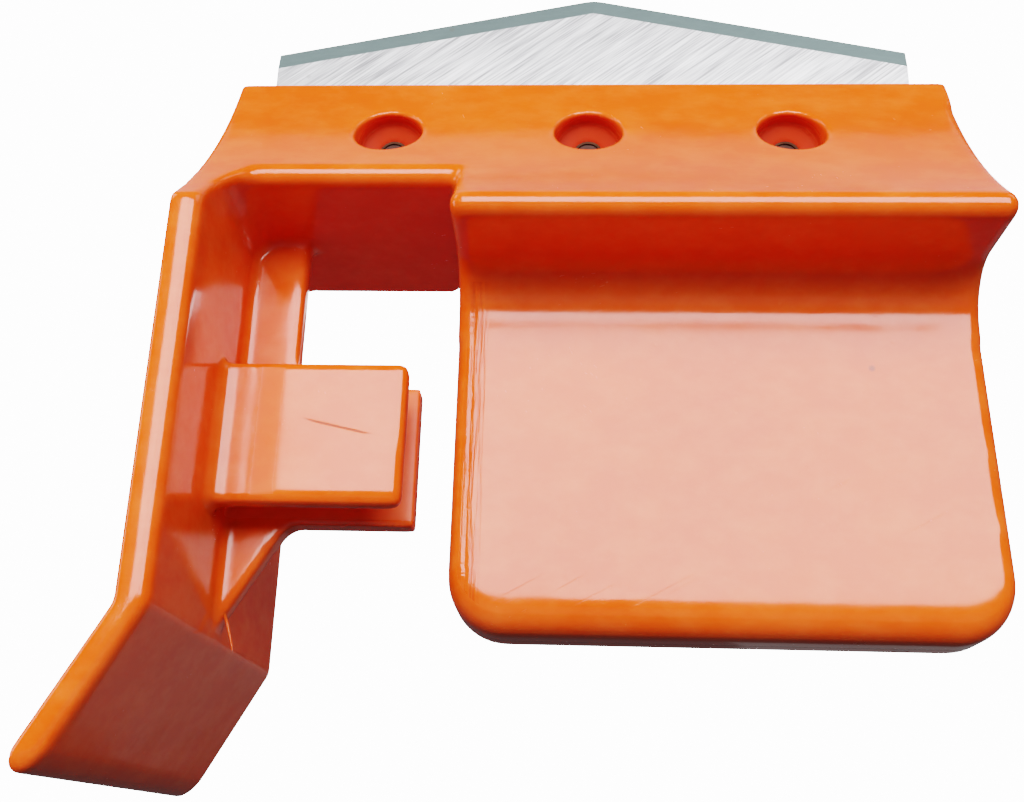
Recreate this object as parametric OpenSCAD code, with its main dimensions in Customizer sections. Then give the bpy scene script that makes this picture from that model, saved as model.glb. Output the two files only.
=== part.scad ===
// Blade holder of an automatic citrus juicer, with its peaked blade and clamping screws.
// Millimetres. +X runs along the bar, +Y to the back, +Z up.
// The origin is the centre of the flat bottom of the wedge plate.

/* [Bar] */
// Length of the bar
bar_len = 120; // [118:1:130]
// Height of the ridge above the lip level
ridge_z = 38; // [37:0.5:40]
// Thickness of the ridge at its top
ridge_w = 6; // [5:0.5:8]
// Radius of the hollow flanks
flank_r = 100; // [95:5:140]
// Reach of the lips from the blade plane
lip_reach = 28.8; // [28:0.2:30]

/* [Wedge plate] */
// Length of the plate along the bar, measured from the right end
plate_len = 80; // [74:1:82]
// Thickness of the plate
plate_t = 15.4; // [14:0.2:18]
// Depth of the plate below the lip level
plate_drop = 56.4; // [50:0.2:62]
// Radius of the plate's lower corners
plate_corner_r = 8.5; // [6:0.5:12]
// How far the plate's right end runs out at its foot
plate_flare = 1.4; // [0:0.2:2]

/* [Arm] */
// Thickness of the arm
arm_t = 4.7; // [4:0.1:6]
// Reach of the arm to the front
arm_front = 29.3; // [28.8:0.1:31]
// Reach of the arm to the back
arm_back = 39.5; // [34:0.5:42]
// Depth of the arm's bend below the lip level
bend_drop = 57; // [55:0.5:60]
// Depth of the foot's lower edge below the lip level
foot_drop = 78.2; // [74:0.2:82]
// Outward lean of the foot, in degrees
foot_lean = 29; // [20:0.5:32]

/* [Fork] */
// Width of the slot between the two tabs
fork_gap = 6.9; // [5:0.1:7.5]
// Thickness of each tab
tab_t = 4.2; // [3.5:0.1:5]
// Height of the front tab
tab_h = 22.2; // [18:0.2:24]
// Reach of the front tab from the outside of the arm
tab_reach = 33.2; // [28:0.2:35]

/* [Blade] */
// Length of the blade
blade_len = 109; // [100:1:110]
// Thickness of the blade
blade_t = 1.5; // [1:0.1:1.5]
// Height of the blade's peak above the lip level
peak_z = 57.2; // [52:0.2:60]
// Height of the blade's ends above the lip level
shoulder_z = 45.9; // [42:0.1:48]
// Width of the ground bevel
bevel_w = 3.1; // [2:0.1:4]

/* [Screws] */
// Distance between the screws
screw_pitch = 32.5; // [28:0.5:34]
// Height of the screws above the lip level
screw_z = 23.8; // [23:0.1:25]
// Diameter of the pockets in the flanks
pocket_d = 10.8; // [10:0.1:11]

/* [Hidden] */
$fn = 64;
// Thickness of the slices that a hull joins
slice_t = 0.1;

// Ends of the bar and of the plate
x_left = -bar_len / 2;
x_right = bar_len / 2;
x_plate = x_right - plate_len;
x_wall = x_left + arm_t;

// Flank: an arc from the ridge to the top of the lip
nose_r = 2.1;
nose_y = lip_reach - nose_r;
nose_z = 1.1;
flank_top = [ridge_w / 2, ridge_z];
flank_low = [nose_y + nose_r * cos(45), nose_z + nose_r * sin(45)];
flank_mid = (flank_top + flank_low) / 2;
flank_chord = flank_low - flank_top;
flank_half = norm(flank_chord) / 2;
flank_normal = [-flank_chord[1], flank_chord[0]] / norm(flank_chord);
flank_c = flank_mid + flank_normal * sqrt(flank_r * flank_r - flank_half * flank_half);
flank_step = 1;

// Underside of the lips and its sweep into the plate
under_z = nose_z - nose_r;
sweep_r = 7.3;
sweep_tail = 3;
edge_r = 4.5;
side_inset = 1.8;

// Window beside the plate
ceiling_z = 9.6;
corner_r = 5;
bar_low_z = ceiling_z - corner_r;

// Arm
arm_edge_r = 2;
arm_outer_r = 0.7;
// Rounded end of the foot: height above its lower edge and how far it draws in
foot_end = [[2.5, 0], [0.9, 0.6], [0, 1.5]];

// Fork: the front tab stands off the arm, the back tab grows out of the rib
rib_y = 0.5;
rib_reach = 13.7;
tab_top = -16.7;
back_tab_extra = 0.6;
back_tab_drop = 0.3;
back_tab_low = tab_top - tab_h - back_tab_drop;
gusset_low = -55.6;
front_tab_y = rib_y - fork_gap - tab_t;
web_fillet = 1.8;
web_corner = 1.1;
tab_tip_r = 1;

// Blade seat
slot_play = 0.1;
slot_floor_z = 14;
slot_len = blade_len + 0.8;
peak_x = 0.8;
peak_r = 9;
edge_t = 0.2;
notch_w = 4.6;
// How far each bevel's cut runs on past the peak
bevel_overrun = 5;

// M4 screw, washer and thin nut
shank_r = 2;
screw_len = 8;
head_r = 3.8;
head_h = 2.2;
head_rim = 0.4;
crown_flat_r = 1.9;
crown_steps = 6;
hex_key = 2.5;
socket_depth = 1.3;
washer_r = 4.5;
washer_hole_r = 2.15;
washer_t = 0.8;
clear_r = 2.2;
nut_af = 7;
nut_t = 2.2;
nut_y = -1.1;
thread_bore_r = shank_r + 0.03;
pocket_floor = 4.2;
screw_seat = pocket_floor + washer_t;

// Points of an arc about c from angle a0 to a1
function arc(c, r, a0, a1, n) =
    [for (i = [0:n]) let (a = a0 + (a1 - a0) * i / n) c + r * [cos(a), sin(a)]];
// Height of the flank's arc at distance y from the blade plane
function flank_height(y) = flank_c[1] - sqrt(flank_r * flank_r - pow(flank_c[0] - y, 2));
// Points of the flank from the ridge out to distance y, at the same stations for every outline
function flank(y) = [for (v = concat([for (v = [flank_top[0]:flank_step:y - flank_step / 2]) v], [y]))
    [v, flank_height(v)]];
// The same points in the opposite order
function reversed(points) = [for (i = [len(points) - 1:-1:0]) points[i]];
// The same points on the other side of the blade plane, in the opposite order
function mirrored(points) = [for (p = reversed(points)) [-p[0], p[1]]];

// Puts a shape drawn about the bar's centre into the part's own frame
module placed() translate([-(x_plate + x_right) / 2, 0, plate_drop]) children();
// Extrudes an outline drawn in Y and Z along X
module along_x(x0, x1) translate([x0, 0, 0]) rotate([90, 0, 90]) linear_extrude(x1 - x0) children();
// Extrudes an outline drawn in X and Z along Y
module along_y(y0, y1) translate([0, y1, 0]) rotate([90, 0, 0]) linear_extrude(y1 - y0) children();
// A cylinder along Y
module rod(r, y0, y1) translate([0, y0, 0]) rotate([-90, 0, 0]) cylinder(r = r, h = y1 - y0);

// Section through the ridge, flanks, lips and the sweep into the plate
module lip_section() {
    half = concat(flank(flank_low[0]),
                  arc([nose_y, nose_z], nose_r, 40, -90, 12),
                  arc([plate_t / 2 + sweep_r, under_z - sweep_r], sweep_r, 90, 180, 12),
                  [[plate_t / 2, under_z - sweep_r - sweep_tail]]);
    polygon(concat(half, mirrored(half)));
}

// Side outline of the left part: flanks carried down to the arm's edges
module arm_envelope() {
    polygon(concat([[arm_back, -foot_drop - 1]], reversed(flank(arm_back)),
                   mirrored(reversed(flank(arm_front))), [[-arm_front, -foot_drop - 1]]));
}

// Rounded plan of the arm, moved out by dx and drawn in by inset
module arm_plan(dx, inset) {
    inner_r = max(arm_edge_r - inset, 0.5);
    outer_r = max(arm_outer_r - inset, 0.2);
    translate([dx, 0]) hull() {
        for (y = [-arm_front + inset + inner_r, arm_back - inset - inner_r])
            translate([x_wall - inset - inner_r, y]) circle(r = inner_r, $fn = 32);
        for (y = [-arm_front + inset + outer_r, arm_back - inset - outer_r])
            translate([x_left + inset + outer_r, y]) circle(r = outer_r, $fn = 24);
    }
}

// Thin slice of the leaning foot at a height above its lower edge
module foot_slice(height, inset) {
    drop = foot_drop - height;
    translate([0, 0, -drop]) linear_extrude(slice_t)
        arm_plan(-(drop - bend_drop) * tan(foot_lean), inset);
}

// Upright wall with the leaning foot below it
module arm() {
    // Wall under the flanks
    intersection() {
        translate([0, 0, -bend_drop]) linear_extrude(bend_drop + ridge_z) arm_plan(0, 0);
        along_x(x_left, x_wall) arm_envelope();
    }
    // Foot leaning outwards
    hull() {
        translate([0, 0, -bend_drop]) linear_extrude(slice_t) arm_plan(0, 0);
        for (step = foot_end) foot_slice(step[0], step[1]);
    }
}

// Left part of the bar over the window, with its hollow corner into the arm
module window_bar() {
    intersection() {
        along_x(x_left, x_plate + 1) arm_envelope();
        along_y(-arm_front, arm_back)
            polygon(concat([[x_left, ridge_z], [x_plate + 1, ridge_z], [x_plate + 1, ceiling_z]],
                           arc([x_wall + corner_r, bar_low_z], corner_r, 90, 180, 12),
                           [[x_wall - 1, bar_low_z], [x_left, bar_low_z]]));
    }
}

// Wedge plate: layers with a rounded rim, deep at the bottom and slight at the sides
module plate() {
    steps = 5;
    hull() for (side = [-1, 1]) for (i = [0:steps]) {
        a = 90 * i / steps;
        rim = 1 - cos(a);
        reach = plate_t / 2 - edge_r + edge_r * sin(a);
        along_y(side > 0 ? reach - slice_t : -reach, side > 0 ? reach : slice_t - reach)
            plate_outline(side_inset * rim, edge_r * rim);
    }
}

// Outline of one layer of the plate, drawn in by dx at its ends and by dz at its foot
module plate_outline(dx, dz) {
    r = plate_corner_r - dx;
    x_foot = x_right + plate_flare;
    polygon(concat([[x_plate + dx, under_z - sweep_r]],
                   arc([x_plate + dx + r, -plate_drop + dz + r], r, 180, 270, 10),
                   arc([x_foot - dx - r, -plate_drop + dz + r], r, 270, 360, 10),
                   [[x_right - dx, under_z - sweep_r]]));
}

// Rib under the window bar, its gusset and the back tab in one flat web
module rib() {
    x_rib = x_left + rib_reach;
    x_tab = x_left + tab_reach + back_tab_extra;
    along_y(rib_y, rib_y + tab_t)
        polygon(concat([[x_wall - 1, ceiling_z + 1], [x_rib + web_fillet, ceiling_z + 1]],
                       arc([x_rib + web_fillet, ceiling_z - web_fillet], web_fillet, 90, 180, 6),
                       [[x_rib, tab_top], [x_tab, tab_top], [x_tab, back_tab_low],
                        [x_rib + web_fillet, back_tab_low]],
                       [[x_rib, back_tab_low - web_corner], [x_wall, gusset_low],
                        [x_wall - 1, gusset_low]]));
}

// Front tab with hollow corners where it leaves the arm
module front_tab() {
    tip = x_left + tab_reach;
    y_back = front_tab_y + tab_t;
    translate([0, 0, tab_top - tab_h]) linear_extrude(tab_h)
        polygon(concat([[x_wall - 1, front_tab_y - web_fillet]],
                       arc([x_wall + web_fillet, front_tab_y - web_fillet], web_fillet, 180, 90, 6),
                       arc([tip - tab_tip_r, front_tab_y + tab_tip_r], tab_tip_r, 270, 360, 4),
                       arc([tip - tab_tip_r, y_back - tab_tip_r], tab_tip_r, 0, 90, 4),
                       arc([x_wall + web_fillet, y_back + web_fillet], web_fillet, 270, 180, 6),
                       [[x_wall - 1, y_back + web_fillet]]));
}

// Slot that the blade stands in, open at the ridge
module blade_slot() {
    half_t = (blade_t + slot_play) / 2;
    translate([-slot_len / 2, -half_t, slot_floor_z])
        cube([slot_len, 2 * half_t, ridge_z]);
}

// Solid hexagon of a nut, which is also its seat
module nut_shape() {
    translate([0, nut_y, 0]) rotate([90, 0, 0]) cylinder(r = nut_af / 2 / cos(30), h = nut_t, $fn = 6);
}

// Screw holes, the pockets in both flanks and the nut seats
module screw_cuts() {
    for (i = [-1:1]) translate([i * screw_pitch, 0, screw_z]) {
        rod(clear_r, -lip_reach, lip_reach);
        rod(pocket_d / 2, pocket_floor, lip_reach);
        rod(pocket_d / 2, -lip_reach, -pocket_floor);
        nut_shape();
    }
}

// The one-piece moulding
module holder() color("darkorange") placed() difference() {
    union() {
        along_x(x_plate, x_right) lip_section();
        window_bar();
        plate();
        arm();
        rib();
        front_tab();
    }
    blade_slot();
    screw_cuts();
}

// Peaked blade, ground on both faces, with notches open at its lower edge
module blade() color("lightsteelblue") placed() difference() {
    along_y(-blade_t / 2, blade_t / 2) blade_outline();
    for (end = [-1, 1]) for (face = [0, 1]) mirror([0, face, 0]) bevel_cut(end);
}

// Slope of the cutting edge from the peak down to one end, in degrees
function slope_to(end) = atan2(peak_z - shoulder_z, blade_len / 2 - end * peak_x);

// Outline of the blade, with its rounded peak and its notches
module blade_outline() {
    left = slope_to(-1);
    right = slope_to(1);
    peak_c = [peak_x, peak_z - peak_r / cos((left + right) / 2)];
    difference() {
        polygon(concat([[-blade_len / 2, slot_floor_z], [blade_len / 2, slot_floor_z],
                        [blade_len / 2, shoulder_z]],
                       arc(peak_c, peak_r, 90 - right, 90 + left, 8),
                       [[-blade_len / 2, shoulder_z]]));
        for (i = [-1:1]) translate([i * screw_pitch, screw_z]) {
            circle(r = notch_w / 2);
            translate([-notch_w / 2, -screw_z]) square([notch_w, screw_z]);
        }
    }
}

// Takes the front face back to a thin edge along one slope
module bevel_cut(end) {
    lean = atan2((blade_t - edge_t) / 2, bevel_w);
    translate([peak_x, -edge_t / 2, peak_z]) rotate([0, end * slope_to(end), 0])
        rotate([-lean, 0, 0])
            translate([end > 0 ? -bevel_overrun : -blade_len, -blade_t * 2, -bevel_w * 2])
                cube([blade_len + bevel_overrun, blade_t * 2, bevel_w * 3]);
}

// Button-head socket screw, its head to the back
module screw(i) color("silver") placed() translate([i * screw_pitch, 0, screw_z]) difference() {
    union() {
        rod(shank_r, screw_seat - screw_len, screw_seat);
        translate([0, screw_seat, 0]) rotate([-90, 0, 0]) rotate_extrude() button_profile();
    }
    translate([0, screw_seat + head_h - socket_depth, 0]) rotate([-90, 0, 0])
        cylinder(d = hex_key / cos(30), h = head_h, $fn = 6);
}

// Half section of the screw's head: a short rim and a domed crown with a flat top
module button_profile() {
    dome = head_r * head_r - crown_flat_r * crown_flat_r;
    polygon(concat([[0, 0], [head_r, 0]],
                   [for (k = [0:crown_steps])
                       let (r = head_r - k * (head_r - crown_flat_r) / crown_steps)
                       let (fall = (r * r - crown_flat_r * crown_flat_r) / dome)
                       [r, head_h - fall * (head_h - head_rim)]],
                   [[0, head_h]]));
}

// Washer under a screw's head
module washer(i) color("gainsboro") placed() translate([i * screw_pitch, 0, screw_z])
    difference() {
        rod(washer_r, pocket_floor, screw_seat);
        rod(washer_hole_r, pocket_floor - 1, screw_seat + 1);
    }

// Thin nut held in the front wall
module nut(i) color("goldenrod") placed() translate([i * screw_pitch, 0, screw_z])
    difference() {
        nut_shape();
        rod(thread_bore_r, nut_y - nut_t - 1, nut_y + 1);
    }

holder();
blade();
washer(-1);  // washer_left
washer(0);  // washer_middle
washer(1);  // washer_right
screw(-1);  // screw_left
screw(0);  // screw_middle
screw(1);  // screw_right
nut(-1);  // nut_left
nut(0);  // nut_middle
nut(1);  // nut_right
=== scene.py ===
import math

import bpy
import numpy as np
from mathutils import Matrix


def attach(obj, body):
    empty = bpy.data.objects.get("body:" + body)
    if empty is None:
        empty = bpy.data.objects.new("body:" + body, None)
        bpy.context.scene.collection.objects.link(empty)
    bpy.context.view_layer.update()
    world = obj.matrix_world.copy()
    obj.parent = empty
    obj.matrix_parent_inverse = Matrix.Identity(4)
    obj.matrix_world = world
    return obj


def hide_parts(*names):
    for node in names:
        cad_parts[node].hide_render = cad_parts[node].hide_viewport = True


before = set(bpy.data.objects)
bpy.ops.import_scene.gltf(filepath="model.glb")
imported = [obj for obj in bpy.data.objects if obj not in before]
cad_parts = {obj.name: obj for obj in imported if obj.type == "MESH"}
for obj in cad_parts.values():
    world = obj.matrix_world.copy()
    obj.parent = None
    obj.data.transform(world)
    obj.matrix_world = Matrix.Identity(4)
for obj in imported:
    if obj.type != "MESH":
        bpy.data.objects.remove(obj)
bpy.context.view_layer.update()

import openvdb
from mathutils import Matrix, Vector

MM = 0.001

# Camera, with its places in the frame's metres
camera_at = Vector((-0.02132, -0.18140, -0.02911))
camera_aim = Vector((-0.03160, 0.0, 0.03756))
camera_roll = math.radians(1.73)
camera_lens = 43.24
sensor_width = 36
nearest_seen = 0.005

# Surroundings
floor_z = -0.0335
floor_size = 1.8
floor_colour = (0.86, 0.86, 0.85, 1)
floor_rough = 0.6
white = (1.0, 1.0, 1.0, 1.0)
room_colour = (0.90, 0.93, 1.0, 1.0)
room_light = 0.08
backdrop_light = 10.0

# name, place, aim, width, height, brightness, seen in reflections
middle = (-0.01, 0.0, 0.03)
softboxes = (
    ("front_box", (0.12, -0.80, 0.36), middle, 0.90, 0.54, 9.0, True),
    ("front_fill", (-0.30, -0.80, 0.32), middle, 0.5, 0.5, 12.0, False),
    ("low_box", (0.0, -0.80, -0.34), middle, 1.2, 0.36, 0.2, True),
    ("top_back_box", (0.0, 0.45, 0.75), middle, 0.9, 0.8, 0.5, True),
    ("back_box", (0.1, 0.85, 0.62), middle, 0.9, 0.35, 3.0, True),
    ("back_fill", (-0.1, 0.90, 0.15), middle, 1.0, 0.6, 4.0, False),
    ("low_back_box", (0.35, 0.80, -0.12), middle, 0.5, 0.3, 0.13, True),
    ("left_box", (-0.75, -0.25, 0.85), middle, 0.5, 0.5, 2.5, True),
    ("left_strip", (-0.80, -0.12, 0.12), middle, 0.3, 0.5, 3.0, True),
    ("right_box", (0.75, -0.25, 0.85), middle, 0.5, 0.5, 1.5, True),
)

# Moulding, in millimetres from the middle of the bar at the lips' level
bar_x = -20.0
lip_z = 56.4
voxel = 0.4
band_voxels = 6
ridge_z = 38.0
flank_r = 100.0
flank_top = np.array([3.0, 38.0])
lip_centre = np.array([26.7, 1.1])
lip_r = 2.1
flank_low = lip_centre + lip_r * math.sqrt(0.5)
core_half = 57.0
core_low = 11.0
plate_x = -20.0
plate_low = -56.4
plate_half_t = 7.7
arm_x = -54.0
tab_face = -6.2
tab_front_y = -10.6
tab_step = 0.2
tab_step_x = 5.0
tab_step_run = 3.5
tab_top = -13.0
tab_low = -42.0
small_r = 0.7
big_r = 1.8
fillet_r = 0.8
pitch = 32.5
screw_x = (-pitch, 0.0, pitch)
screw_z = 23.8
pocket_r = 5.4
pocket_floor = 4.2
pocket_slope = 0.28
hole_r = 2.2
slot_half_t = 0.8
slot_half_len = 54.9
slot_floor = 14.0
rim_blend = 0.9
slot_blend = 0.3
soften_steps = 2

# Colours and marks
orange_low = (0.75, 0.064, 0.004, 1)
orange_high = (0.81, 0.076, 0.005, 1)
orange_pale = (0.86, 0.115, 0.022, 1)
# deep orange for the seam, gate mark and flow streaks, and painted shade deep in the front pockets
deep_orange_marks_and_shade = (0.45, 0.025, 0.004, 1)
# near black for specks and a scratch, and painted shade on the fasteners' front ends
grime_and_shade = (0.05, 0.016, 0.01, 1)
steel_dark = (0.20, 0.20, 0.21, 1)
steel_light = (0.55, 0.55, 0.57, 1)
steel_spot = (0.16, 0.15, 0.13, 1)
metal_stain = (0.22, 0.17, 0.12, 1)
bevel_low = (0.16, 0.215, 0.215, 1)
bevel_high = (0.19, 0.25, 0.25, 1)
grain_turn = math.radians(38)
scratch_turns = ((0.0, 0.5, 0.0), (0.0, -0.9, 0.3), (0.4, 1.9, 0.0))
scratch_patches = (11.0, 23.0, 37.0)
flash_sides = 10
flash_path = (
    (-54.2, 1.3, -52.8, 0.35),
    (-53.6, 1.4, -54.2, 0.28),
    (-53.1, 1.5, -55.8, 0.22),
    (-52.6, 1.6, -57.4, 0.17),
    (-52.4, 1.6, -58.4, 0.08),
)
gate_at = (46.0, 1.5)
gate_r = 1.3
tab_scratch = (-42.3, -25.8, -31.2, -28.3)


def camera():
    """Looks at the part from the photo's angle, a little from below."""
    data = bpy.data.cameras.new("camera")
    data.lens = camera_lens
    data.sensor_width = sensor_width
    data.clip_start = nearest_seen
    piece = bpy.data.objects.new("camera", data)
    bpy.context.scene.collection.objects.link(piece)
    look = (camera_aim - camera_at).to_track_quat("-Z", "Y").to_matrix().to_4x4()
    piece.matrix_world = Matrix.Translation(camera_at) @ look @ Matrix.Rotation(camera_roll, 4, "Z")
    bpy.context.scene.camera = piece


def softbox(name, at, aim, width, height, brightness, mirrored):
    """A rectangular light whose face has the given brightness."""
    data = bpy.data.lights.new(name, "AREA")
    data.shape = "RECTANGLE"
    data.size = width
    data.size_y = height
    data.energy = brightness * math.pi * width * height
    lamp = bpy.data.objects.new(name, data)
    lamp.visible_glossy = mirrored
    bpy.context.scene.collection.objects.link(lamp)
    at = Vector(at)
    turn = (Vector(aim) - at).to_track_quat("-Z", "Y").to_matrix().to_4x4()
    lamp.matrix_world = Matrix.Translation(at) @ turn


def surroundings():
    """White behind the part for the camera, a dim room for the light, the floor and the softboxes."""
    world = bpy.data.worlds.new("room")
    bpy.context.scene.world = world
    world.use_nodes = True
    tree = world.node_tree
    seen = tree.nodes["Background"]
    seen.inputs["Color"].default_value = white
    seen.inputs["Strength"].default_value = backdrop_light
    lit = tree.nodes.new("ShaderNodeBackground")
    lit.inputs["Color"].default_value = room_colour
    lit.inputs["Strength"].default_value = room_light
    path = tree.nodes.new("ShaderNodeLightPath")
    mix = tree.nodes.new("ShaderNodeMixShader")
    tree.links.new(path.outputs["Is Camera Ray"], mix.inputs["Fac"])
    tree.links.new(lit.outputs["Background"], mix.inputs[1])
    tree.links.new(seen.outputs["Background"], mix.inputs[2])
    tree.links.new(mix.outputs["Shader"], tree.nodes["World Output"].inputs["Surface"])
    bpy.context.scene.view_settings.view_transform = "Filmic"
    bpy.context.scene.view_settings.look = "Medium High Contrast"

    mesh = bpy.data.meshes.new("floor")
    half = floor_size / 2
    ends = ((-half, -half), (half, -half), (half, half), (-half, half))
    corners = [(a, b, floor_z) for a, b in ends]
    mesh.from_pydata(corners, [], [(0, 1, 2, 3)])
    floor = bpy.data.objects.new("floor", mesh)
    bpy.context.scene.collection.objects.link(floor)
    paint = bpy.data.materials.new("floor_paint")
    paint.use_nodes = True
    surface = paint.node_tree.nodes["Principled BSDF"]
    surface.inputs["Base Color"].default_value = floor_colour
    surface.inputs["Roughness"].default_value = floor_rough
    mesh.materials.append(paint)
    floor.visible_diffuse = False
    floor.visible_glossy = False
    floor.visible_shadow = False

    for light in softboxes:
        softbox(*light)


class Nodes:
    """Builds one material's nodes."""

    def __init__(self, name):
        self.material = bpy.data.materials.new(name)
        self.material.use_nodes = True
        self.tree = self.material.node_tree
        self.shader = self.tree.nodes["Principled BSDF"]

    def add(self, kind, **settings):
        node = self.tree.nodes.new(kind)
        for key, value in settings.items():
            setattr(node, key, value)
        return node

    def link(self, source, target):
        self.tree.links.new(source, target)

    def put(self, socket, value):
        if isinstance(value, bpy.types.NodeSocket):
            self.link(value, socket)
        else:
            socket.default_value = value

    def math(self, operation, a, b=0.0):
        node = self.add("ShaderNodeMath", operation=operation)
        self.put(node.inputs[0], a)
        self.put(node.inputs[1], b)
        return node.outputs[0]

    def all_of(self, first, *others):
        for other in others:
            first = self.math("MULTIPLY", first, other)
        return first

    def above(self, value, limit):
        return self.math("GREATER_THAN", value, limit)

    def below(self, value, limit):
        return self.math("LESS_THAN", value, limit)

    def object_coords(self):
        return self.add("ShaderNodeTexCoord").outputs["Object"]

    def scaled(self, vector, scale, turn=(0, 0, 0)):
        node = self.add("ShaderNodeMapping")
        self.link(vector, node.inputs["Vector"])
        node.inputs["Scale"].default_value = scale
        node.inputs["Rotation"].default_value = turn
        return node.outputs["Vector"]

    def noise(self, vector, scale, detail=3.0, rough=0.5):
        node = self.add("ShaderNodeTexNoise")
        self.link(vector, node.inputs["Vector"])
        node.inputs["Scale"].default_value = scale
        node.inputs["Detail"].default_value = detail
        node.inputs["Roughness"].default_value = rough
        return node.outputs["Fac"]

    def ramp(self, value, low, high, out_low=0.0, out_high=1.0):
        node = self.add("ShaderNodeMapRange")
        self.link(value, node.inputs["Value"])
        node.inputs["From Min"].default_value = low
        node.inputs["From Max"].default_value = high
        node.inputs["To Min"].default_value = out_low
        node.inputs["To Max"].default_value = out_high
        return node.outputs["Result"]

    def bar_millimetres(self, where):
        """Millimetres from the middle of the bar at the lips' level."""
        split = self.add("ShaderNodeSeparateXYZ")
        self.link(where, split.inputs["Vector"])
        x, y, z = (self.math("MULTIPLY", axis, 1 / MM) for axis in split.outputs)
        return self.math("SUBTRACT", x, bar_x), y, self.math("SUBTRACT", z, lip_z)

    def object_normal(self):
        return self.add("ShaderNodeTexCoord").outputs["Normal"]

    def sides(self, normal):
        """How much a face looks to the front or the back."""
        split = self.add("ShaderNodeSeparateXYZ")
        self.link(normal, split.inputs["Vector"])
        return self.math("ABSOLUTE", split.outputs["Y"])

    def near(self, value, at, inner, outer):
        """1 within inner of at, 0 beyond outer."""
        away = self.math("ABSOLUTE", self.math("SUBTRACT", value, at))
        return self.ramp(away, outer, inner)

    def radius(self, a, b):
        squares = self.math("ADD", self.math("MULTIPLY", a, a), self.math("MULTIPLY", b, b))
        return self.math("SQRT", squares)

    def from_screw(self, x, z):
        """Distance to the nearest screw's axis."""
        across = self.math("ABSOLUTE", x)
        beyond = self.math("ABSOLUTE", self.math("SUBTRACT", across, pitch))
        return self.radius(self.math("MINIMUM", across, beyond), self.math("SUBTRACT", z, screw_z))

    def spot(self, a, b, at, size):
        away = self.radius(self.math("SUBTRACT", a, at[0]), self.math("SUBTRACT", b, at[1]))
        return self.ramp(away, size, size * 0.7)

    def line(self, a, b, a0, b0, a1, b1, width):
        """A thin mark from (a0, b0) to (a1, b1), fading to its ends."""
        length = math.hypot(a1 - a0, b1 - b0)
        ua, ub = (a1 - a0) / length, (b1 - b0) / length
        da, db = self.math("SUBTRACT", a, a0), self.math("SUBTRACT", b, b0)
        along = self.math("ADD", self.math("MULTIPLY", da, ua), self.math("MULTIPLY", db, ub))
        across = self.math("SUBTRACT", self.math("MULTIPLY", da, ub), self.math("MULTIPLY", db, ua))
        body = self.near(across, 0.0, width * 0.4, width * 1.6)
        return self.math("MULTIPLY", body, self.near(along, length / 2, length * 0.3, length * 0.5))

    def specks(self, vector, scale, size, rarity):
        node = self.add("ShaderNodeTexVoronoi")
        self.link(vector, node.inputs["Vector"])
        node.inputs["Scale"].default_value = scale
        split = self.add("ShaderNodeSeparateColor")
        self.link(node.outputs["Color"], split.inputs["Color"])
        chosen = self.math("GREATER_THAN", split.outputs["Red"], rarity)
        return self.math("MULTIPLY", chosen, self.ramp(node.outputs["Distance"], size, size * 0.6))

    def mix(self, factor, a, b):
        node = self.add("ShaderNodeMix", data_type="RGBA")
        self.put(node.inputs["Factor"], factor)
        self.put(node.inputs["A"], a)
        self.put(node.inputs["B"], b)
        return node.outputs["Result"]

    def bump(self, height, distance):
        node = self.add("ShaderNodeBump")
        self.link(height, node.inputs["Height"])
        node.inputs["Distance"].default_value = distance
        node.inputs["Strength"].default_value = 1.0
        return node.outputs["Normal"]

    def set(self, **values):
        for key, value in values.items():
            self.put(self.shader.inputs[key.replace("_", " ")], value)


def apply_modifiers(piece):
    """Gives the piece the mesh that its modifiers make."""
    graph = bpy.context.evaluated_depsgraph_get()
    mesh = bpy.data.meshes.new_from_object(piece.evaluated_get(graph))
    old = piece.data
    piece.modifiers.clear()
    piece.data = mesh
    bpy.data.meshes.remove(old)


def distances(points, quads=None, triangles=None):
    """Grid of distances from a closed mesh."""
    faces = {"quads": quads} if quads is not None else {"triangles": triangles}
    spacing = openvdb.createLinearTransform(voxelSize=voxel)
    level_set = openvdb.FloatGrid.createLevelSetFromPolygons
    return level_set(points, transform=spacing, halfWidth=band_voxels, **faces)


def offset(grid, amount):
    """Distances from the surface moved out by amount."""
    points, quads = grid.convertToQuads(isovalue=amount)
    return distances(points, quads=quads)


def rounded(grid, radius):
    """Rounds the outer edges."""
    return offset(offset(grid, -radius), radius)


def filleted(grid, radius):
    """Fills the hollow corners."""
    return offset(offset(grid, radius), -radius)


def blend_cut(solid, cutter, softness):
    """Cuts with a softened rim."""
    share = np.clip(0.5 + 0.5 * (-cutter - solid) / softness, 0, 1)
    return solid + (-cutter - solid) * share + softness * share * (1 - share)


def ease(value, low, high):
    """0 below low, 1 above high and smooth between them."""
    t = np.clip((value - low) / (high - low), 0, 1)
    return t * t * (3 - 2 * t)


class Block:
    """A dense block of distances, with its axes in millimetres from the middle of the bar."""

    def __init__(self, grid):
        low, high = grid.evalActiveVoxelBoundingBox()
        self.low = tuple(int(c) - 2 for c in low)
        self.shape = tuple(int(b) + 3 - a for a, b in zip(self.low, high))
        self.x, self.y, self.z = (
            ((np.arange(n, dtype=np.float32) + a) * voxel).reshape([-1 if i == k else 1 for k in range(3)])
            for i, (n, a) in enumerate(zip(self.shape, self.low))
        )
        self.x = self.x - bar_x
        self.z = self.z - lip_z

    def read(self, grid):
        values = np.full(self.shape, band_voxels * voxel, np.float32)
        grid.copyToArray(values, ijk=self.low)
        return values

    def grid(self, values):
        out = openvdb.FloatGrid(band_voxels * voxel)
        out.transform = openvdb.createLinearTransform(voxelSize=voxel)
        out.copyFromArray(np.ascontiguousarray(values, np.float32), ijk=self.low)
        return out


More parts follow.
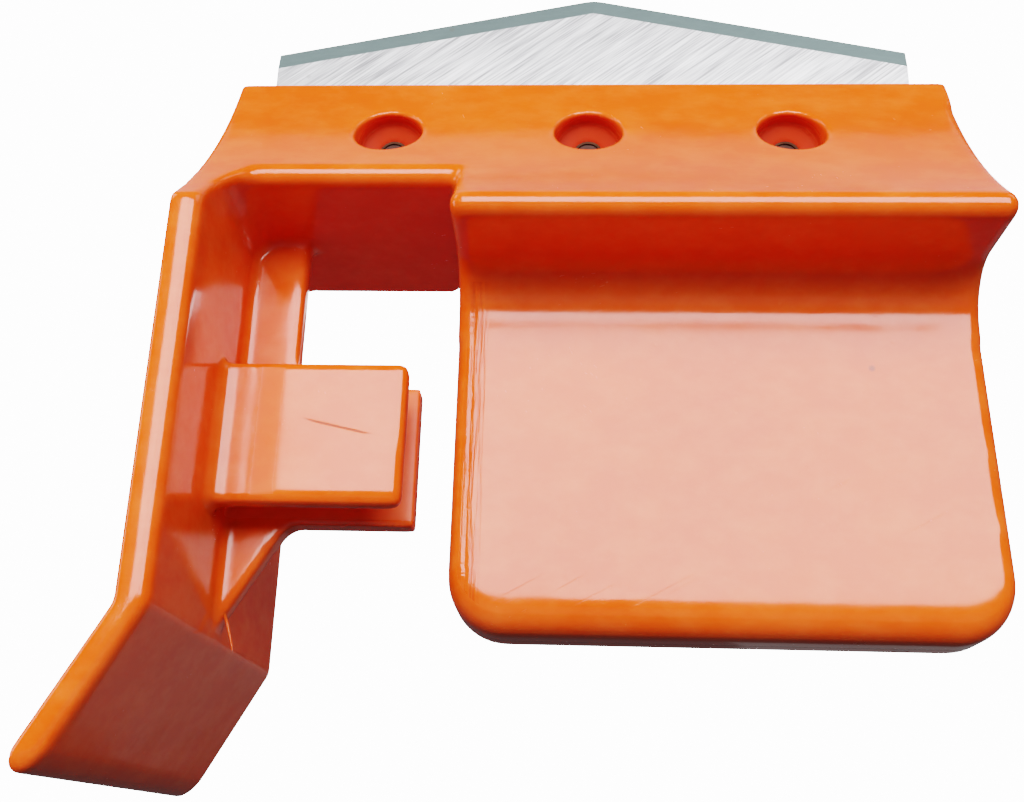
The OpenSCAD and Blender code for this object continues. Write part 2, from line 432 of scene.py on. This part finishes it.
def cad_block():
    """The CAD holder's distances, and a block of their size."""
    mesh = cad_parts["holder"].data
    mesh.calc_loop_triangles()
    points = np.empty(len(mesh.vertices) * 3, np.float32)
    mesh.vertices.foreach_get("co", points)
    triangles = np.empty(len(mesh.loop_triangles) * 3, np.int32)
    mesh.loop_triangles.foreach_get("vertices", triangles)
    cad = distances(points.reshape(-1, 3) / MM, triangles=triangles.reshape(-1, 3))
    return cad, Block(cad)


def ridge_core(x, y, z):
    """The ridge without its slot and pockets, so that rounding leaves its thin walls whole."""
    chord = flank_low - flank_top
    half = np.linalg.norm(chord) / 2
    normal = np.array([-chord[1], chord[0]]) / (2 * half)
    centre = (flank_top + flank_low) / 2 + normal * math.sqrt(flank_r ** 2 - half ** 2)
    flanks = flank_r - np.sqrt((centre[0] - np.abs(y)) ** 2 + (centre[1] - z) ** 2)
    return np.maximum(np.maximum(flanks, np.abs(x) - core_half), np.maximum(z - ridge_z, core_low - z))


def softer_share(x, y, z):
    """How far each place goes from the small radius to the big one."""
    beside_window = ease(x, plate_x - 3, plate_x - 0.5)
    over_window = ease(x, arm_x, arm_x + 4) * ease(z, 3, 6) * (1 - ease(y, -5, 5))
    front_tab = 0.5 * ease(x, arm_x, arm_x + 3) * (1 - ease(y, tab_face, tab_face + 0.8))
    front_tab = front_tab * (1 - ease(z, -32, -27))
    under_ridge_top = 1 - ease(z, ridge_z - 8, ridge_z - 4)
    return np.maximum(np.maximum(beside_window, over_window), front_tab) * under_ridge_top


def sharp_share(x, y, z):
    """Where the edges stay as sharp as the CAD's: the window's back edge and the back tab."""
    inside = ease(x, arm_x, arm_x + 3) * (1 - ease(x, plate_x - 4, plate_x - 2))
    back_edge = inside * ease(y, 12, 16) * (1 - ease(z, 14, 18)) * ease(z, -8, -4)
    beside_tab = (1 - ease(z, tab_top, tab_top + 2)) * ease(z, tab_low - 2, tab_low)
    back_tab = inside * ease(y, -0.5, 0.3) * beside_tab
    return np.maximum(back_edge, back_tab)


def step_front_tab(solid, x, y, z):
    """Lowers the front tab's face next to the arm."""
    along = np.clip((x - arm_x - tab_step_x) / tab_step_run, 0, 1)
    face_y = tab_front_y + tab_step * (1 - along) + 0 * z
    across_tab = (x > arm_x + 0.5) & (x < plate_x - 3)
    stepped = across_tab & (z > tab_low + 1) & (z < tab_top) & (y < -8)
    return np.where(stepped, np.maximum(solid, face_y - y), solid)


def cut_for_blade_and_screws(solid, x, y, z):
    """Cuts the pockets on both flanks, the screw holes and the blade's slot."""
    for at in screw_x:
        from_axis = np.sqrt((x - at) ** 2 + (z - screw_z) ** 2)
        cone = pocket_slope * np.clip(pocket_r - from_axis, 0, pocket_r - hole_r)
        floor = pocket_floor - np.where(y < 0, cone, 0)
        pocket = np.maximum(from_axis - pocket_r, floor - np.abs(y))
        solid = blend_cut(solid, pocket, rim_blend)
        solid = blend_cut(solid, from_axis - hole_r + 0 * y, slot_blend)
    slot = np.maximum(np.maximum(np.abs(y) - slot_half_t, np.abs(x) - slot_half_len), slot_floor - z)
    return blend_cut(solid, slot, slot_blend)


def moulding_distances():
    """The holder with soft moulded edges, as distances."""
    cad, block = cad_block()
    places = (block.x, block.y, block.z)
    filled = block.grid(np.minimum(block.read(cad), ridge_core(*places)))
    sharp = block.read(filled)
    fine = block.read(rounded(filled, small_r))
    coarse = block.read(rounded(filled, big_r))
    solid = fine + (coarse - fine) * softer_share(*places)
    solid = solid + (sharp - solid) * sharp_share(*places)
    solid = step_front_tab(solid, *places)
    solid = block.read(filleted(block.grid(solid), fillet_r))
    return block.grid(cut_for_blade_and_screws(solid, *places))


def moulding_skin():
    """The holder again with soft moulded edges."""
    points, quads = moulding_distances().convertToQuads(isovalue=0)
    mesh = bpy.data.meshes.new("moulding_skin")
    mesh.from_pydata((points * MM).tolist(), [], quads[:, ::-1].tolist())
    skin = bpy.data.objects.new("moulding_skin", mesh)
    bpy.context.scene.collection.objects.link(skin)
    soften = skin.modifiers.new("soften", "SMOOTH")
    soften.factor = 0.5
    soften.iterations = soften_steps
    apply_modifiers(skin)
    for face in skin.data.polygons:
        face.use_smooth = True
    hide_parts("holder")
    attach(skin, "holder")
    return skin


def flash_thread():
    """A thread of flash that hangs from the gusset's lower corner."""
    rings = []
    for x, y, z, radius in flash_path:
        for k in range(flash_sides):
            angle = 2 * math.pi * k / flash_sides
            across = (x + bar_x + radius * math.cos(angle), y + radius * math.sin(angle), z + lip_z)
            rings.append(Vector(across) * MM)
    faces = [tuple(reversed(range(flash_sides))), tuple(range(len(rings) - flash_sides, len(rings)))]
    for ring in range(len(flash_path) - 1):
        for k in range(flash_sides):
            a, b = ring * flash_sides + k, ring * flash_sides + (k + 1) % flash_sides
            faces.append((b, a, a + flash_sides, b + flash_sides))
    mesh = bpy.data.meshes.new("flash_thread")
    mesh.from_pydata(rings, [], faces)
    for face in mesh.polygons:
        face.use_smooth = True
    thread = bpy.data.objects.new("flash_thread", mesh)
    bpy.context.scene.collection.objects.link(thread)
    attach(thread, "holder")
    return thread


class Finish(Nodes):
    """A material whose colour, roughness and height are built up mark by mark."""

    def __init__(self, name):
        super().__init__(name)
        self.where = self.object_coords()
        self.x, self.y, self.z = self.bar_millimetres(self.where)
        self.facing = self.sides(self.object_normal())

    def mark(self, mask, tint=None, tinted=0.0, duller=0.0, deeper=0.0):
        """Tints, dulls and sinks what the mask covers."""
        if tint:
            self.colour = self.mix(self.math("MULTIPLY", mask, tinted), self.colour, tint)
        if duller:
            self.rough = self.math("ADD", self.rough, self.math("MULTIPLY", mask, duller))
        if deeper:
            self.height = self.math("SUBTRACT", self.height, self.math("MULTIPLY", mask, deeper))


def moulded_surface(n):
    """Clouded orange with a slight swell and grain."""
    cloud = n.noise(n.where, 38, detail=4, rough=0.6)
    mottle = n.noise(n.scaled(n.where, (1.0, 1.0, 1.6)), 130, detail=4, rough=0.65)
    n.colour = n.mix(n.ramp(cloud, 0.35, 0.65), orange_low, orange_high)
    n.colour = n.mix(n.ramp(mottle, 0.42, 0.72, 0.0, 0.6), n.colour, orange_pale)
    n.rough = n.ramp(n.noise(n.where, 75, detail=3, rough=0.6), 0.3, 0.7, 0.09, 0.17)
    swell = n.math("MULTIPLY", n.noise(n.where, 55, detail=2), 0.18)
    grain = n.math("MULTIPLY", n.noise(n.where, 300, detail=3), 0.02)
    n.height = n.math("ADD", swell, grain)


def scratches(n):
    """Hairlines in three directions, in patches."""
    for turn, pick in zip(scratch_turns, scratch_patches):
        turned = n.scaled(n.where, (1, 1, 1), turn)
        lines = n.noise(n.scaled(turned, (60, 2500, 2500)), 1.0, detail=1)
        patch = n.noise(n.scaled(n.where, (1, 1, 1), (pick, pick, 0)), 70, detail=1)
        scratch = n.all_of(n.ramp(lines, 0.66, 0.72), n.ramp(patch, 0.52, 0.62))
        n.mark(scratch, duller=0.12, deeper=0.004)


def specks_and_pits(n):
    """Small dark specks, and paler pits."""
    n.mark(n.specks(n.where, 130, size=0.10, rarity=0.93), grime_and_shade, tinted=0.6)
    n.mark(n.specks(n.where, 420, size=0.16, rarity=0.90), orange_pale, tinted=0.25, deeper=0.01)


def parting_line(n):
    """Round the plate, in the blade's plane."""
    on_plate = n.all_of(n.above(n.x, plate_x - 1), n.below(n.z, -8.0))
    seam = n.all_of(n.near(n.y, 0.0, 0.12, 0.32), n.ramp(n.facing, 0.5, 0.3), on_plate)
    n.mark(seam, deep_orange_marks_and_shade, tinted=0.7, deeper=0.03)


def pocket_shade_and_lean(n):
    """Front pockets with painted shade, darker red towards their floors; duller there too, and with floors
    that face down a little.
    """
    from_axis = n.from_screw(n.x, n.z)
    front = n.below(n.y, 0.0)
    pocket = n.all_of(n.below(from_axis, pocket_r + 0.3), n.ramp(n.y, -7.2, -4.4), front)
    # painted shade: deep orange mixed in towards the pocket floors
    n.mark(pocket, deep_orange_marks_and_shade, tinted=0.9, duller=0.35)
    floor = n.all_of(n.above(n.y, -5.2), n.below(from_axis, pocket_r - 0.2), front)
    lean = n.math("MULTIPLY", n.math("SUBTRACT", n.z, screw_z), 0.45)
    n.height = n.math("ADD", n.height, n.all_of(floor, lean))


def gate_mark(n):
    """Under the plate."""
    gate = n.all_of(n.spot(n.x, n.y, gate_at, gate_r), n.below(n.z, plate_low + 2))
    n.mark(gate, deep_orange_marks_and_shade, tinted=0.7, deeper=0.2)


def plate_streaks(n):
    """Flow streaks and a wandering groove beside the plate's left edge."""
    front = n.below(n.y, -plate_half_t + 0.4)
    flow = n.ramp(n.noise(n.scaled(n.where, (1600, 60, 60)), 1.0, detail=3), 0.42, 0.6)
    beside = n.all_of(n.near(n.x, plate_x + 3.0, 0.7, 2.0), n.below(n.z, -3.0), front)
    n.mark(n.all_of(beside, flow), deep_orange_marks_and_shade, tinted=0.35, deeper=0.09)
    wobble = n.math("MULTIPLY", n.noise(n.scaled(n.where, (0, 0, 180)), 1.0, detail=4, rough=0.7), 1.4)
    groove = n.near(n.math("ADD", n.x, wobble), plate_x + 3.4, 0.0, 0.55)
    n.mark(n.all_of(groove, front, n.below(n.z, -4.0)), deeper=0.16)


def tab_marks(n):
    """A duller step across the front tab, close to the arm, a long scratch, and a dull back tab."""
    beside_plate = n.below(n.x, plate_x - 3)
    on_tab = n.all_of(
        n.below(n.y, tab_face + 0.6),
        beside_plate,
        n.below(n.z, tab_top),
        n.above(n.x, arm_x + 1),
    )
    wander = n.math("MULTIPLY", n.noise(n.scaled(n.where, (0, 0, 400)), 1.0, detail=3), 0.8)
    step = n.near(n.math("ADD", n.x, wander), arm_x + 7.15, 1.5, 2.0)
    n.mark(n.all_of(step, on_tab, n.above(n.facing, 0.97)), duller=0.30)
    n.mark(n.all_of(n.line(n.x, n.z, *tab_scratch, 0.12), on_tab), grime_and_shade, tinted=0.55, deeper=0.05)
    back_tab = n.all_of(n.near(n.y, 0.4, 0.8, 1.2), beside_plate, n.near(n.z, -26.0, 12.0, 12.5))
    n.mark(back_tab, duller=0.35)


def worn_edges(n):
    """Paler and duller where the surface bends outwards."""
    edge = n.ramp(n.add("ShaderNodeNewGeometry").outputs["Pointiness"], 0.53, 0.60)
    worn = n.all_of(edge, n.ramp(n.noise(n.where, 220, detail=4), 0.45, 0.7))
    n.mark(worn, orange_pale, tinted=0.5, duller=0.15)


def plastic():
    """Glossy orange with a slight inner glow."""
    n = Finish("moulding_plastic")
    moulded_surface(n)
    scratches(n)
    specks_and_pits(n)
    parting_line(n)
    pocket_shade_and_lean(n)
    gate_mark(n)
    plate_streaks(n)
    tab_marks(n)
    worn_edges(n)
    n.set(Base_Color=n.colour, Roughness=n.rough, IOR=1.5, Subsurface_Weight=0.15,
          Subsurface_Scale=1.8 * MM, Normal=n.bump(n.height, MM))
    n.shader.inputs["Subsurface Radius"].default_value = (1.0, 0.2, 0.05)
    return n.material


def blade_material():
    """Brushed steel with a diagonal grain and a grey-green ground bevel."""
    n = Finish("blade_brushed")
    along = n.scaled(n.where, (1, 1, 1), (0, grain_turn, 0))
    fine = n.noise(n.scaled(along, (90, 90, 3000)), 1.0, detail=2, rough=0.6)
    wide = n.noise(n.scaled(along, (45, 45, 900)), 1.0, detail=2, rough=0.5)
    grain = n.math("ADD", n.math("MULTIPLY", fine, 0.7), n.math("MULTIPLY", wide, 0.3))
    bevel = n.ramp(n.facing, 0.9995, 0.998)
    body = n.mix(n.ramp(grain, 0.36, 0.62), steel_dark, steel_light)
    ground = n.mix(n.noise(n.scaled(n.where, (300, 300, 2000)), 1.0, detail=2), bevel_low, bevel_high)
    n.colour = n.mix(bevel, body, ground)
    n.rough = n.ramp(grain, 0.3, 0.7, 0.42, 0.30)
    n.mark(n.specks(n.where, 160, size=0.10, rarity=0.9), steel_spot, tinted=0.3)
    n.mark(bevel, duller=0.15)
    height = n.all_of(grain, n.math("SUBTRACT", 1.0, bevel))
    n.set(Base_Color=n.colour, Metallic=0.8, Roughness=n.rough, Normal=n.bump(height, 0.01 * MM))
    return n.material


def turned_metal(name, low, high, rough):
    """Satin metal with turned rings about each screw's axis, and painted shade that darkens the front ends
    nearly to black.
    """
    n = Finish(name)
    texture = n.add("ShaderNodeTexNoise", noise_dimensions="1D")
    n.link(n.from_screw(n.x, n.z), texture.inputs["W"])
    texture.inputs["Scale"].default_value = 7.0
    texture.inputs["Detail"].default_value = 3.0
    rings = texture.outputs["Fac"]
    stain = n.noise(n.where, 500, detail=4, rough=0.6)
    n.colour = n.mix(rings, low, high)
    n.rough = n.ramp(stain, 0.3, 0.7, rough - 0.06, rough + 0.12)
    n.mark(n.ramp(stain, 0.55, 0.75, 0.0, 0.5), metal_stain, tinted=1.0)
    # painted shade: the front ends, deep behind the front pockets, go nearly black
    n.mark(n.ramp(n.y, -2.0, -2.8), grime_and_shade, tinted=0.97, duller=0.3)
    height = n.math("ADD", rings, n.math("MULTIPLY", stain, 0.5))
    n.set(Base_Color=n.colour, Metallic=0.8, Roughness=n.rough, Normal=n.bump(height, 0.015 * MM))
    return n.material


camera()
surroundings()
skin = moulding_skin()
skin.data.materials.clear()
moulded = plastic()
skin.data.materials.append(moulded)
flash_thread().data.materials.append(moulded)

finishes = {
    "blade": blade_material(),
    "screw": turned_metal("fastener_satin", (0.42, 0.42, 0.43, 1), (0.58, 0.58, 0.60, 1), 0.28),
    "washer": turned_metal("washer_satin", (0.46, 0.46, 0.46, 1), (0.62, 0.62, 0.62, 1), 0.33),
    "nut": turned_metal("nut_dull_brass", (0.50, 0.33, 0.11, 1), (0.62, 0.42, 0.16, 1), 0.35),
}
for name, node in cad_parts.items():
    if name == "holder":
        continue
    node.data.materials.clear()
    node.data.materials.append(finishes[name.split("_")[0]])
